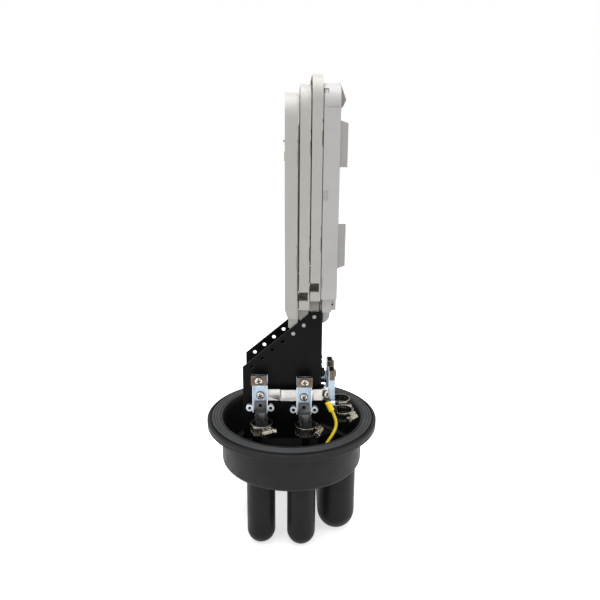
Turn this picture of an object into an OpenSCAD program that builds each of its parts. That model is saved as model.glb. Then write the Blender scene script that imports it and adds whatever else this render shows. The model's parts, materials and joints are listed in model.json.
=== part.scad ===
// Dome splice closure, open: moulded base with closed cable ports, folded hinge frame,
// hinged splice trays, storage box, cable clamps and earth bonding.
// Z = 0 is the surface that the ports stand on, and the Z axis is the axis of the base.

/* [Base] */
// Outer radius of the cup under the flange
cup_r = 89.6; // [88:0.2:110]
// Wall of the cup
cup_wall = 3.6; // [2.5:0.1:4.4]
// Depth of the cup, from the seal face down to its underside
cup_h = 59; // [52:1:75]
// Thickness of the cup's floor
floor_t = 4; // [3:0.5:6]
// Radius that rounds the cup's lower edge
cup_round = 5; // [3:0.5:5]
// How far the flange stands out from the cup
flange_w = 17.9; // [17:0.1:24]
// Thickness of the flange at its rim
rim_t = 8.6; // [7:0.2:12]
// Width of the lip outside the seal face
lip_w = 3.2; // [2.4:0.2:5]
// Height of the seal face above that lip
lip_step = 1.2; // [0.8:0.1:2]
// Width of the rubber seal
seal_w = 12.4; // [11.8:0.2:12.8]
// Depth of the groove that the seal lies in
seal_d = 3; // [2:0.5:4]

/* [Ports] */
// Length of the closed cable ports below the cup
port_l = 86; // [70:1:110]
// Outer radius of the round ports
port_r = 17.3; // [14:0.1:19]
// Wall of the ports
port_wall = 2.3; // [1.8:0.1:3]
// Outer radius of the oval port's ends
oval_r = 23.6; // [20:0.1:24.6]
// Half the distance between the centres of the oval port's ends
oval_half = 26; // [20:1:28]
// Distance of the oval port from the axis
oval_x = 57; // [52:0.5:58]

/* [Hinge frame] */
// Width of the frame over its two side plates
frame_w = 54; // [50:1:65]
// Thickness of the frame's sheet
sheet_t = 1.5; // [1.2:0.1:2]
// Number of hinge holes along the slope of each side plate
hinge_count = 7; // [4:1:7]
// Step from one hinge hole to the next, outwards
hinge_dx = 12.4; // [12.3:0.1:15]
// Step from one hinge hole to the next, down
hinge_dz = 10.4; // [10:0.1:13]
// Height of the top hinge hole above the seal face
hinge_h = 135.3; // [120:1:165]
// Radius of the trays' hinge pins
pin_r = 2.3; // [2:0.1:2.6]
// Radial clearance of a hinge pin in its hole
pin_clear = 0.05; // [0.02:0.01:0.1]
// Height of the bosses that the frame is screwed to
boss_h = 33; // [25:1:38]

/* [Splice trays] */
// Number of splice trays on the hinge holes, from the top
tray_count = 3; // [1:1:3]
// Length of a tray from its hinge pin to its top edge
tray_l = 268.6; // [225:1:325]
// Width of a tray
tray_w = 112; // [96:1:125]
// Thickness of a tray from its floor to its rim
tray_t = 11.7; // [9:0.1:11.9]
// Thickness of a tray's floor and walls
tray_wall = 1.7; // [1.4:0.1:2]
// Radius of a tray's top corners
tray_corner = 28; // [20:1:34]
// Radius of the coils that the fibres are wound to
coil_r = 30; // [28:0.5:31]
// Height of the splice tray's lid over the tray's rim
lid_t = 3.6; // [3:0.1:5]

/* [Storage box] */
// Depth of the storage box
box_d = 17.5; // [16:0.5:24]
// Height of the box's lower edge above the top hinge hole
box_base = 28.4; // [26:0.2:40]
// Length of the box
box_l = 231; // [225:1:275]
// Height of the guards over the box's rim
guard_h = 8; // [6:0.5:10]

/* [Cable clamps] */
// Width of a clamp's channel
channel_w = 18.2; // [16:0.2:19]
// Height of a clamp's channel
channel_h = 34.5; // [30:0.5:40]
// Height of the block that grips a cable's strength member
block_h = 12; // [10:0.5:18]
// Height of the channels' lower ends above the seal face
clamp_h = 20.4; // [19:0.5:26]
// Distance of the bonding strip from the frame
standoff = 7.5; // [6:0.5:9]
// Distance of a hose clamp's centre from the frame
hose_w = 27; // [26:0.5:30]
// Inner radius of the hose clamps
hose_r = 12.3; // [11.5:0.1:13]
// Height of a hose clamp's band
band_h = 12; // [9:0.5:13]

/* [Earth bonding] */
// Height of the bonding strip
strip_h = 14.3; // [10:0.5:16]
// Thickness of the bonding strip
strip_t = 1; // [0.8:0.1:1.2]
// Diameter of the earth wire
wire_d = 3.8; // [3:0.1:4]

/* [Hidden] */
fit = 0.2;
eps = 0.01;
$fn = 64;

rim_r = cup_r + flange_w;
cup_in = cup_r - cup_wall;
floor_z = port_l + floor_t;
face_z = port_l + cup_h;
face_r = rim_r - lip_w;
seal_r = face_r - 0.6;
groove_r = seal_r + fit;

port_xy = [[12, -60], [-37, -56], [12, 60], [-37, 56]];
boss_x = [-45, 18];
boss_y = 15;
boss_r = 5;
foot_z = floor_z + boss_h;

plate_y = frame_w / 2;
hinge_x = 26.15;
hinge_z = face_z + hinge_h;
web_x = hinge_x + 9.95;
frame_left = hinge_x - (hinge_count - 1) * hinge_dx - 11.4;
edge_margin = 6.8;
slope = atan2(hinge_dz, hinge_dx);
frame_top = hinge_z + 6.2;
frame_round = 3;

tray_back = 5.3;
tray_front = tray_t - tray_back;
tray_shoulder = 47;
tray_taper = 26.5;
tray_neck = 17.5;
entry_top = 36.8;
lid_skirt = 1.4;
lid_over = 2;
arm_gap = 0.4;
arm_y = plate_y - sheet_t - arm_gap;
arm_r = 4.5;
arm_w = 4.6;

box_gap = 0.75;
box_x = hinge_x + tray_back + box_gap;
box_z = hinge_z + box_base;
box_top = box_z + box_l;
box_w = tray_w;
box_wall = 2;

joggle = 2;
// One row for each cable clamp: side of the frame (0 front, 1 right, 2 back), place along it,
// angle of the worm screw round the hose clamp, which way its head points, how far the clamp
// stands out and sits lower than the others, and the sideways play of its block and its hose clamp
clamps = [
    [0, -38, -65, 1, 0, 0, -1.4, 2.2], [0, 14.6, -20, -1, joggle, 1.5, 0.7, 2.2],
    [1, -17.3, -132, -1, 0, 0, 0, 0], [1, 17.3, -170, 1, 0, 0, 0, 0],
    [2, -14.6, -65, 1, 0, 0, 0, 0], [2, 38, -65, 1, 0, 0, 0, 0]
];
clamp_count = len(clamps);
channel_t = 1.2;
channel_y = standoff + strip_t;
flange_h = 8;
strip_z = face_z + clamp_h + 19.4;
block_t = 1.5;
lug_u = channel_w / 2 + 3.5;
lug_r = 4.2;
saddle_r = hose_r - fit;
saddle_t = 2.4;
saddle_w = 14.4;
band_t = 0.7;
band_z = face_z + clamp_h - 19.6;
worm_r = 3;

stud_xy = [41, -63];
stud_h = 9;
corner_cut = 8;
lug_t = 0.8;
sleeve_r = 3.1;
sleeve_l = 10.5;

// Route of the earth wire, from the sleeve of the upper lug to the sleeve of the lower one
wire_route = [
    [48.5, -38.5, 165.5], [50.5, -39.2, 161.5], [52.2, -40.2, 157.5], [53.4, -41.4, 153.5],
    [53.7, -43, 149.5], [52.8, -45.3, 145.5], [51, -47.4, 142], [48.6, -49.4, 138.5],
    [45.8, -51.4, 135], [43, -53.2, 131.5], [40.2, -54.8, 127.5], [37.8, -56, 123],
    [35.8, -56.8, 118], [34.4, -57, 113], [33.5, -57, 107.5], [33.5, -57, 102]
];

// ---------- shared shapes ----------

module tube(r_out, r_in, h) {
    difference() {
        cylinder(r = r_out, h = h);
        translate([0, 0, -eps]) cylinder(r = r_in, h = h + 2 * eps);
    }
}

// Extrudes a shape drawn in Y and Z towards +X
module along_x(x0, length) {
    translate([x0, 0, 0]) rotate([90, 0, 90]) linear_extrude(length) children();
}

// Extrudes a shape drawn in X and Z to both sides of Y = 0
module across_y(width) {
    translate([0, width / 2, 0]) rotate([90, 0, 0]) linear_extrude(width) children();
}

// A pan-head screw with its head's seat at Z = 0 and its shank below
module pan_screw(head_r, head_h, shank_r, shank_l) {
    crown = 0.8;
    cylinder(r = head_r, h = head_h - crown);
    translate([0, 0, head_h - crown]) cylinder(r1 = head_r, r2 = head_r - crown, h = crown);
    translate([0, 0, -shank_l]) cylinder(r = shank_r, h = shank_l + eps);
}

// Puts a clamp's parts on its side of the frame: X runs along the frame, -Y points outwards
module at_clamp(i) {
    side = clamps[i][0];
    turn = side * 90;
    reach = side == 1 ? web_x : plate_y;
    rotate(turn) translate([clamps[i][1], -reach - clamps[i][4], face_z + clamp_h - clamps[i][5]]) children();
}

// Puts a part on a clamp's face with its own +Z pointing outwards
module facing_out(u, w, z) {
    translate([u, -w, z]) rotate([90, 0, 0]) children();
}

// ---------- base ----------

module base_section() {
    rim_top = face_z - lip_step;
    rim_low = rim_top - rim_t;
    bevel = 0.8;
    difference() {
        union() {
            translate([0, port_l + cup_round]) square([cup_r, cup_h - cup_round - lip_step]);
            translate([0, port_l]) square([cup_r - cup_round, cup_round + eps]);
            translate([cup_r - cup_round, port_l + cup_round]) circle(cup_round);
            polygon([
                [0, rim_low], [rim_r - bevel, rim_low], [rim_r, rim_low + bevel], [rim_r, rim_top - bevel],
                [rim_r - bevel, rim_top], [face_r, rim_top], [face_r, face_z - 0.3],
                [face_r - 0.3, face_z], [0, face_z]
            ]);
            // Step under the flange
            translate([0, rim_low - 2.4]) square([cup_r + 1.4, 2.4 + eps]);
        }
        cup_cavity();
        translate([groove_r - seal_w - 2 * fit, face_z - seal_d]) square([seal_w + 2 * fit, seal_d + 1]);
    }
}

module cup_cavity() {
    fillet = 5;
    flare = 2.3;
    flare_h = 7;
    translate([-1, floor_z + fillet]) square([cup_in + 1, cup_h]);
    translate([-1, floor_z]) square([cup_in - fillet + 1, fillet + eps]);
    translate([cup_in - fillet, floor_z + fillet]) circle(fillet);
    polygon([[0, face_z - flare_h], [cup_in, face_z - flare_h], [cup_in + flare, face_z - 0.6],
        [cup_in + flare + 0.6, face_z + eps], [0, face_z + eps]]);
}

// A solid port: a cylinder with a domed end that stands on Z = bottom
module port_solid(r, bottom, top) {
    translate([0, 0, bottom + r]) cylinder(r = r, h = top - bottom - r);
    translate([0, 0, bottom + r]) sphere(r);
}

module oval_solid(r, bottom, top) {
    for (s = [-1, 1]) translate([oval_x, s * oval_half, 0]) port_solid(r, bottom, top);
    translate([oval_x - r, -oval_half, bottom + r]) cube([2 * r, 2 * oval_half, top - bottom - r]);
    translate([oval_x, oval_half, bottom + r]) rotate([90, 0, 0]) cylinder(r = r, h = 2 * oval_half);
}

module base() {
    color([0.17, 0.17, 0.18]) difference() {
        union() {
            difference() {
                rotate_extrude($fn = 128) difference() {
                    base_section();
                    translate([-rim_r, 0]) square([rim_r, face_z]);
                }
                // Mouths of the ports in the floor
                for (p = port_xy) translate([p[0], p[1], port_l - 1])
                    cylinder(r = port_r - port_wall, h = floor_t + 2);
                oval_mouth(oval_r - port_wall);
            }
            for (x = boss_x, s = [-1, 1])
                translate([x, s * boss_y, floor_z - 1]) cylinder(r = boss_r, h = boss_h + 1);
            // Seat of the earth stud
            translate([stud_xy[0], stud_xy[1], floor_z - 1]) cylinder(r = 6, h = 2);
        }
        for (x = boss_x, s = [-1, 1])
            translate([x, s * boss_y, foot_z - 14]) cylinder(r = 1.9, h = 15);
        translate([stud_xy[0], stud_xy[1], floor_z - 1.5]) cylinder(r = 3.1, h = 5);
    }
}

module oval_mouth(r) {
    for (s = [-1, 1]) translate([oval_x, s * oval_half, port_l - 1]) cylinder(r = r, h = floor_t + 2);
    translate([oval_x - r, -oval_half, port_l - 1]) cube([2 * r, 2 * oval_half, floor_t + 2]);
}

// Closed round port, which meets the underside of the cup
module round_port(i) {
    color([0.17, 0.17, 0.18]) translate([port_xy[i][0], port_xy[i][1], 0]) difference() {
        port_solid(port_r, 0, port_l);
        port_solid(port_r - port_wall, port_wall, port_l + 1);
    }
}

module oval_port() {
    color([0.17, 0.17, 0.18]) difference() {
        oval_solid(oval_r, 0, port_l);
        oval_solid(oval_r - port_wall, port_wall, port_l + 1);
    }
}

module seal_ring() {
    inner = seal_r - seal_w;
    ridge_r = 0.8;
    color([0.1, 0.1, 0.1]) rotate_extrude($fn = 128) union() {
        translate([inner, face_z - seal_d]) square([seal_w, seal_d]);
        for (i = [0:3]) translate([seal_r - 1.8 - i * 2.9, face_z - 0.2]) circle(ridge_r);
    }
}

// ---------- hinge frame ----------

function hinge_at(i) = [hinge_x - i * hinge_dx, hinge_z - i * hinge_dz];

// Height of the sloping edge above a point of the frame
function slope_z(x) = hinge_z + (x - hinge_x) * tan(slope) + edge_margin / cos(slope);

module plate_outline() {
    flat_x = hinge_x + (frame_top - hinge_z - edge_margin / cos(slope)) / tan(slope);
    polygon([[frame_left, foot_z], [web_x, foot_z], [web_x, frame_top], [flat_x, frame_top],
        [frame_left, slope_z(frame_left)]]);
}

// Plan of the frame: a channel, open to the left
module frame_plan(inset) {
    r = frame_round - inset;
    right = web_x - inset;
    half = plate_y - inset;
    translate([frame_left - 1, -half]) square([right - r - frame_left + 1, 2 * half]);
    translate([right - r - eps, -half + r]) square([r + eps, 2 * (half - r)]);
    for (s = [-1, 1]) translate([right - r, s * (half - r)]) circle(r);
}

// The whole folded frame
module folded_frame() {
    tab_w = 16;
    comb_z = face_z + 44;
    difference() {
        union() {
            intersection() {
                across_y(frame_w + 2) plate_outline();
                translate([0, 0, foot_z]) linear_extrude(frame_top - foot_z) difference() {
                    frame_plan(0);
                    frame_plan(sheet_t);
                }
            }
            // Feet, folded inwards
            for (x = boss_x, s = [-1, 1])
                translate([x - tab_w / 2, s > 0 ? 8 : -plate_y + sheet_t / 2, foot_z])
                    cube([tab_w, plate_y - sheet_t / 2 - 8, sheet_t]);
            // Tie comb beside each corner of the web
            for (s = [-1, 1], i = [0:3])
                translate([web_x - eps, s * (plate_y - 4.2) - 0.6, comb_z + i * 7.2]) cube([3.4, 1.2, 4.6]);
        }
        for (i = [0:hinge_count - 1]) translate([hinge_at(i)[0], 0, hinge_at(i)[1]]) rotate([90, 0, 0])
            translate([0, 0, -plate_y - 1]) cylinder(r = pin_r + pin_clear, h = frame_w + 2);
        for (x = boss_x, s = [-1, 1])
            translate([x, s * boss_y, foot_z - 1]) cylinder(r = 2.2, h = sheet_t + 2);
        for (i = [0:clamp_count - 1]) at_clamp(i) facing_out(0, -sheet_t - 1 - clamps[i][4], 19.4)
            cylinder(r = 2.5 + fit, h = sheet_t + 2);
        for (y = [-10, 10]) translate([web_x - sheet_t - 1, y, box_screw_z]) rotate([0, 90, 0])
            cylinder(r = 2, h = sheet_t + 2);
    }
}

fold_y = -plate_y + frame_round;

// Web and back plate of the folded frame
module hinge_frame() {
    color([0.09, 0.09, 0.1]) difference() {
        folded_frame();
        translate([-2 * rim_r, fold_y - rim_r, 0]) cube([4 * rim_r, rim_r, 2 * frame_top]);
        translate([frame_left - 1, fold_y - eps, 0])
            cube([web_x - sheet_t - frame_left + 1 - eps, -2 - fold_y, 2 * frame_top]);
    }
}

// Front plate of the folded frame with its fold and its feet
module front_plate() {
    color([0.09, 0.09, 0.1]) difference() {
        folded_frame();
        translate([-2 * rim_r, 0, 0]) cube([4 * rim_r, rim_r, 2 * frame_top]);
        translate([web_x - sheet_t - eps, fold_y, 0]) cube([rim_r, rim_r, 2 * frame_top]);
    }
}

module frame_screws() {
    color([0.75, 0.75, 0.77]) for (x = boss_x, s = [-1, 1])
        translate([x, s * boss_y, foot_z + sheet_t]) pan_screw(3.8, 2.6, 1.8, 12);
}

// ---------- splice trays ----------

// Outline of a tray, drawn in Y and Z from the hinge pin, with its top edge raised by over
module tray_field(inset, over = 0, low = tray_shoulder) {
    side = tray_w / 2 - inset;
    corner_y = tray_w / 2 - tray_corner;
    corner_z = tray_l + over - tray_corner;
    translate([-side, low]) square([2 * side, corner_z - low]);
    translate([-corner_y, corner_z - eps]) square([2 * corner_y, tray_corner - inset + eps]);
    for (s = [-1, 1]) translate([s * corner_y, corner_z]) circle(tray_corner - inset, $fn = 96);
}

module tray_tail(inset) {
    side = tray_w / 2 - inset;
    polygon([[-side, tray_shoulder + eps], [-side, tray_taper], [-arm_y, tray_neck], [-arm_y, 7],
        [arm_y, 7], [arm_y, tray_neck], [side, tray_taper], [side, tray_shoulder + eps]]);
}

module coil_guide(z, up) {
    difference() {
        translate([0, z]) circle(coil_r, $fn = 96);
        translate([0, z]) circle(coil_r - tray_wall, $fn = 96);
        translate([-coil_r - 1, up ? z - coil_r - 1 : z]) square([2 * coil_r + 2, coil_r + 1]);
    }
}

// A tray; the outer one is narrower by its lid's skirt
module tray(i) {
    x_floor = tray_back - tray_wall;
    x_rim = -tray_front;
    rise = x_floor - x_rim;
    guide_low = 92;
    guide_high = tray_l - 62;
    covered = i == tray_count - 1;
    inset = covered ? lid_skirt + 0.1 : 0;
    over = covered ? lid_over : 0;
    side = tray_w / 2 - inset;
    translate([hinge_at(i)[0], 0, hinge_at(i)[1]]) {
        difference() {
            union() {
                along_x(x_floor, tray_wall) {
                    tray_field(inset, over);
                    tray_tail(inset);
                }
                along_x(x_rim, rise + eps) difference() {
                    tray_field(inset, over);
                    tray_field(inset + tray_wall, over);
                    // Open to the cable side between the entries
                    translate([-tray_w / 2 + 20, 0]) square([tray_w - 40, tray_shoulder + 10]);
                }
                along_x(x_floor - 8, 8 + eps) {
                    coil_guide(guide_low, false);
                    coil_guide(guide_high, true);
                }
                // Rails that hold the splice holder
                for (s = [-1, 1]) along_x(x_floor - 3, 3 + eps)
                    translate([s * 21.2 - 0.8, 118]) square([1.6, 64]);
                // Entry blocks below the shoulders
                for (s = [-1, 1]) along_x(x_rim + 0.2, rise - 0.2 + eps)
                    translate([s > 0 ? side - 18 : -side, tray_taper]) square([18, entry_top - tray_taper]);
                // Retaining lips over the fibre channel
                for (s = [-1, 1], z = [78, 140, 205]) along_x(x_rim, 1.2)
                    translate([s > 0 ? side - 9 : -side, z - 6]) square([9, 12]);
                // Ribs that space the trays
                for (s = [-1, 1]) along_x(tray_back - eps, 0.5)
                    translate([s * (side - 8) - 0.8, 29]) square([1.6, tray_l - tray_corner - 33]);
                // Inner walls of the entries
                for (s = [-1, 1]) along_x(x_rim + 0.2, rise - 0.2 + eps)
                    translate([s > 0 ? side - 19.7 : 18 - side, tray_taper]) square([1.7, 49.4 - tray_taper]);
                arms();
            }
            // Notches in the back edge, where the trays clip together
            if (!covered) for (s = [-1, 1], z = notch_rows)
                along_x(tray_back - 0.9, 1) translate([s * tray_w / 2 - 3, z[0]]) square([6, z[1] - z[0]]);
        }
    }
}

notch_rows = [[83, 98], [107.4, 109.8], [194.5, 209.8], [218.4, 220.8]];

module arms() {
    arm_front = 6;
    for (s = [-1, 1]) {
        y0 = s > 0 ? arm_y - arm_w : -arm_y;
        translate([-arm_r, y0, 0]) cube([tray_back + arm_r, arm_w, tray_neck + 9]);
        translate([-arm_front, y0, 7]) cube([arm_front, arm_w, tray_neck + 2]);
        translate([0, y0, 0]) rotate([-90, 0, 0]) cylinder(r = arm_r, h = arm_w);
        translate([0, s > 0 ? arm_y - 1 : -plate_y, 0]) rotate([-90, 0, 0])
            cylinder(r = pin_r, h = plate_y - arm_y + 1);
    }
    translate([-arm_r, -arm_y, tray_neck - 1]) cube([tray_back + arm_r, 2 * arm_y, 2]);
}

module splice_tray(i) {
    color([0.72, 0.71, 0.69]) tray(i);
}

module splice_holder(i) {
    slots = 6;
    pitch = 6.4;
    depth = 5;
    holder_w = 40;
    color([0.86, 0.86, 0.84]) translate([hinge_at(i)[0] + tray_back - tray_wall, 0, hinge_at(i)[1] + 120])
        difference() {
            translate([-depth, -holder_w / 2, 0]) cube([depth, holder_w, 60]);
            for (k = [0:slots - 1]) translate([-depth, (k - (slots - 1) / 2) * pitch, -1]) {
                cylinder(r = 2, h = 62, $fn = 24);
                translate([-2, -1.5, 0]) cube([2.6, 3, 62]);
            }
        }
}

// Lid on the outer tray: a plate with a skirt round the tray and a step that stands on its rim
module tray_lid() {
    outer = tray_count - 1;
    x0 = -tray_front - lid_t;
    skirt_end = 3.8;
    half = tray_w / 2;
    color([0.78, 0.77, 0.76]) translate([hinge_at(outer)[0], 0, hinge_at(outer)[1]]) difference() {
        union() {
            along_x(x0, 1.5) tray_field(0, lid_over, entry_top + 0.5);
            along_x(x0, skirt_end - x0) difference() {
                tray_field(0, lid_over);
                tray_field(lid_skirt, lid_over, 0);
            }
            along_x(x0 + 1.5 - eps, lid_t - 1.5 - fit) difference() {
                tray_field(lid_skirt - eps, lid_over);
                tray_field(lid_skirt + tray_wall, lid_over);
                translate([-half + 20, 0]) square([tray_w - 40, tray_shoulder + 10]);
            }
            // Lower ends of the skirt, cut back towards the lid
            for (s = [-1, 1]) translate([0, s > 0 ? half : -half + lid_skirt, 0]) rotate([90, 0, 0])
                linear_extrude(lid_skirt) polygon([[x0, entry_top + 0.5], [-tray_front + 0.2, tray_taper],
                    [skirt_end, tray_taper], [skirt_end, tray_shoulder + 1], [x0, tray_shoulder + 1]]);
            // Finger catches
            for (s = [-1, 1]) translate([x0 - 1.8, s * (half - 4) - 3, 219]) cube([1.8 + eps, 6, 2.2]);
            // Pads
            for (s = [-1, 1]) translate([x0 - 0.7, s * (half - 3) - 3, 199.6]) cube([0.7 + eps, 6, 9.6]);
        }
        for (s = [-1, 1], z = notch_rows)
            along_x(skirt_end - 0.9, 1) translate([s * half - 3, z[0]]) square([6, z[1] - z[0]]);
    }
}

// ---------- storage box ----------

box_screw_z = hinge_z - 20;

module box_field(inset) {
    side = box_w / 2 - inset;
    r = 24;
    top = box_top - r;
    translate([-side, box_z + inset]) square([2 * side, top - box_z - inset]);
    translate([-(box_w / 2 - r), top - eps]) square([2 * (box_w / 2 - r), r - inset + eps]);
    for (s = [-1, 1]) translate([s * (box_w / 2 - r), top]) circle(r - inset, $fn = 96);
}

// Side guard of the storage box, drawn in X and Z, with its slanted ends
module guard(low, high, low_cut, high_cut) {
    x_out = box_x + box_d;
    polygon([[x_out - eps, low], [x_out + guard_h, low + low_cut], [x_out + guard_h, high - high_cut],
        [x_out - eps, high]]);
}

module storage_box() {
    x_out = box_x + box_d;
    foot_x = 34;
    foot_d = 10.5;
    foot_low = frame_top + 6.3;
    web_gap = 0.3;
    tongue_t = web_x - sheet_t - box_x - fit;
    guards = [[35.5, 84.6, 3, 0], [144.5, 191.9, 0, 2.6]];
    color([0.76, 0.74, 0.74]) difference() {
        union() {
            along_x(box_x, box_wall) box_field(0);
            along_x(box_x + box_wall - eps, box_d - box_wall) difference() {
                box_field(0);
                box_field(box_wall);
            }
            // Guards with an inward lip
            for (s = [-1, 1], g = guards) {
                translate([0, s > 0 ? box_w / 2 - 1 : -box_w / 2 + 1 + box_wall, 0]) rotate([90, 0, 0])
                    linear_extrude(box_wall) guard(box_z + g[0], box_z + g[1], g[2], g[3]);
                translate([x_out + guard_h - 1.6, s > 0 ? box_w / 2 - 11 : -box_w / 2 + 1, box_z + g[0] + 3])
                    cube([1.6, 10, g[1] - g[0] - 6]);
            }
            // Hooked guard at the top end
            across_y(76) polygon([[x_out - 3, box_top - 0.5], [x_out, box_top - 0.5],
                [x_out + 6.6, box_top - 17], [x_out + 3.4, box_top - 24], [x_out + 1.2, box_top - 23.6],
                [x_out + 3.8, box_top - 17.4], [x_out - 3, box_top - 3.4]]);
            // Cheeks at the ends of the hook
            for (s = [-1, 1]) translate([0, s > 0 ? 38 : -36.4, 0]) rotate([90, 0, 0]) linear_extrude(1.6)
                polygon([[x_out - 3, box_top - 2.4], [x_out, box_top - 0.6], [x_out + 6.4, box_top - 17],
                    [x_out + 3.4, box_top - 24], [x_out - 1, box_top - 24]]);
            // Rib where each top corner starts
            for (s = [-1, 1]) translate([box_x + 1, s > 0 ? box_w / 2 - 1 : -box_w / 2 - 0.4, box_top - 25.2])
                cube([box_d - 2, 1.4, 1]);
            // Ledge under the box, then the foot
            for (s = [-1, 1]) translate([43, s > 0 ? 30 : -50, box_z - 13.5]) cube([6.3, 20, 14]);
            translate([foot_x, -box_w / 2 + 4, foot_low]) cube([foot_d, box_w - 8, box_z - foot_low + box_wall]);
            // Quarter round behind the web
            intersection() {
                translate([web_x + web_gap, -22, frame_top - 16])
                    cube([foot_x + foot_d - web_x - web_gap, 44, 24]);
                union() {
                    translate([foot_x, 22, frame_top - 4.6]) rotate([90, 0, 0]) cylinder(r = foot_d, h = 44);
                    translate([foot_x, -22, frame_top - 4.6]) cube([foot_d, 44, 12.6]);
                }
            }
            // Tongue inside the web
            translate([web_x - sheet_t - tongue_t, -20, box_screw_z - 8])
                cube([tongue_t, 40, frame_top - box_screw_z + 8 + eps]);
            translate([web_x - sheet_t - tongue_t, -20, frame_top]) cube([10, 40, 12]);
        }
        // Recess near each top corner
        for (s = [-1, 1]) along_x(box_x - 1, 6) intersection() {
            difference() {
                box_field(-1);
                box_field(box_wall + 0.5);
            }
            translate([s > 0 ? 36 : -60, box_top - 12.2]) square([24, 5]);
        }
        // Pockets in the side walls
        for (s = [-1, 1], z = [109.8, 115.6], k = [0, 1])
            translate([box_x + 0.8 + k * 2.6, s > 0 ? box_w / 2 - 0.7 : -box_w / 2 - 0.3, box_z + z])
                cube([2, 1, 4.6]);
        // Slot beside the trays
        for (s = [-1, 1]) translate([box_x - 1, s > 0 ? box_w / 2 - 1.4 : -box_w / 2 - 0.6, box_z + 13])
            cube([2.2, 2, 12]);
        for (y = [-10, 10]) translate([box_x - 5, y, box_screw_z]) rotate([0, 90, 0]) cylinder(r = 2, h = 12);
        for (s = [-1, 1]) translate([45.4, s * 40 + 15, box_z - 7]) rotate([90, 0, 0]) cylinder(r = 1.2, h = 30);
    }
}

module box_screws() {
    color([0.75, 0.75, 0.77]) for (y = [-10, 10])
        translate([box_x + fit, y, box_screw_z]) rotate([0, -90, 0])
            pan_screw(3.4, 2, 1.9, web_x - box_x - fit - 0.2);
}

// ---------- cable clamps ----------

module standoffs() {
    color([0.7, 0.72, 0.75]) for (i = [0:clamp_count - 1]) at_clamp(i)
        facing_out(0, -clamps[i][4], 19.4) tube(5, 2.5 + fit, standoff + clamps[i][4]);
}

module channel_screws() {
    color([0.8, 0.78, 0.72]) for (i = [0:clamp_count - 1]) at_clamp(i)
        facing_out(0, channel_y + channel_t, 19.4)
            pan_screw(4.65, 3, 2.5, channel_y + channel_t + sheet_t + 2 + clamps[i][4]);
}

module clamp_channel(i) {
    half = channel_w / 2;
    color([0.66, 0.74, 0.82]) at_clamp(i) difference() {
        union() {
            translate([-half, -channel_y - channel_t, 0])
                cube([channel_w, channel_t, channel_h + block_h - 0.8]);
            for (s = [-1, 1]) translate([s > 0 ? half - channel_t : -half, -channel_y - flange_h, 0])
                cube([channel_t, flange_h, channel_h]);
            // Eyes beside the lower end
            for (s = [-1, 1]) {
                facing_out(s * lug_u, channel_y + 3, 5.8) cylinder(r = lug_r, h = 5);
                translate([s > 0 ? half - channel_t : -half - 2, -channel_y - flange_h, 5.8 - 2.4])
                    cube([channel_t + 2, 5, 4.8]);
            }
        }
        facing_out(0, 0, 7) cylinder(r = 2.2, h = channel_y + 6);
        facing_out(0, 0, 19.4) cylinder(r = 2.5 + fit, h = channel_y + 6);
        for (s = [-1, 1]) facing_out(s * lug_u, channel_y, 5.8) cylinder(r = 2, h = 10);
    }
}

module clamp_block(i) {
    half = channel_w / 2 + 0.2;
    back = channel_y + channel_t;
    depth = 6.6;
    color([0.68, 0.62, 0.55]) at_clamp(i) translate([clamps[i][6], 0, channel_h]) difference() {
        translate([-half, -back - depth, 0]) cube([2 * half, depth, block_h]);
        translate([-half + block_t, -back - depth + block_t, -1])
            cube([2 * (half - block_t), depth, block_h + 2]);
        facing_out(0, back, block_h / 2) cylinder(r = 2 + fit, h = depth + 2);
    }
}

module block_screws() {
    seat = channel_y + channel_t + 6.6;
    color([0.8, 0.78, 0.72]) for (i = [0:clamp_count - 1]) at_clamp(i)
        facing_out(clamps[i][6], seat, channel_h + block_h / 2) pan_screw(4.2, 2.4, 2, 6.3);
}

// Curved saddle that stands inside the hose clamp, on a neck below the channel
module cable_saddle(i) {
    low = -26;
    top = -4.4;
    back = channel_y + channel_t + 0.1;
    u = clamps[i][7];
    color([0.12, 0.12, 0.13]) at_clamp(i) difference() {
        union() {
            intersection() {
                translate([u, -hose_w, low]) tube(saddle_r, saddle_r - saddle_t, top - low);
                translate([u - saddle_w / 2, -hose_w, low - 1]) cube([saddle_w, hose_w, top - low + 2]);
            }
            difference() {
                translate([u / 2 - saddle_w / 2, -hose_w + saddle_r - 5, top - 7])
                    cube([saddle_w, hose_w - saddle_r + 5 - back, 6.8 - top]);
                translate([u, -hose_w, top - 8]) cylinder(r = saddle_r - saddle_t, h = 20);
                translate([u - saddle_w, -hose_w, top - 8]) difference() {
                    cube([2 * saddle_w, hose_w, 8 - saddle_band_gap]);
                    translate([saddle_w, 0, -1]) cylinder(r = saddle_r, h = 12);
                }
            }
            // Tongue that lies in the channel
            translate([-6.4, -back - 2.4, -1]) cube([12.8, 2.4, 13]);
        }
        facing_out(0, back - 1, 7) cylinder(r = 2.1, h = 5);
        for (s = [-1, 1]) translate([u + s * 4.3 - 1.6, -hose_w, -11.5]) cube([3.2, hose_w, 3.4]);
    }
}

saddle_band_gap = 0.4;

module hose_band(i) {
    color([0.72, 0.7, 0.64]) at_clamp(i) translate([clamps[i][7], -hose_w, band_z - face_z - clamp_h])
        tube(hose_r + band_t, hose_r, band_h);
}

// Puts a part on the outside of a hose clamp: X is tangential, -Y points away from the band
module at_worm(i) {
    at_clamp(i) translate([clamps[i][7], -hose_w, band_z - face_z - clamp_h + band_h / 2])
        rotate(clamps[i][2] + 90) translate([0, -hose_r - band_t, 0])
            rotate([0, clamps[i][3] < 0 ? 180 : 0, 0]) children();
}

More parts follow.
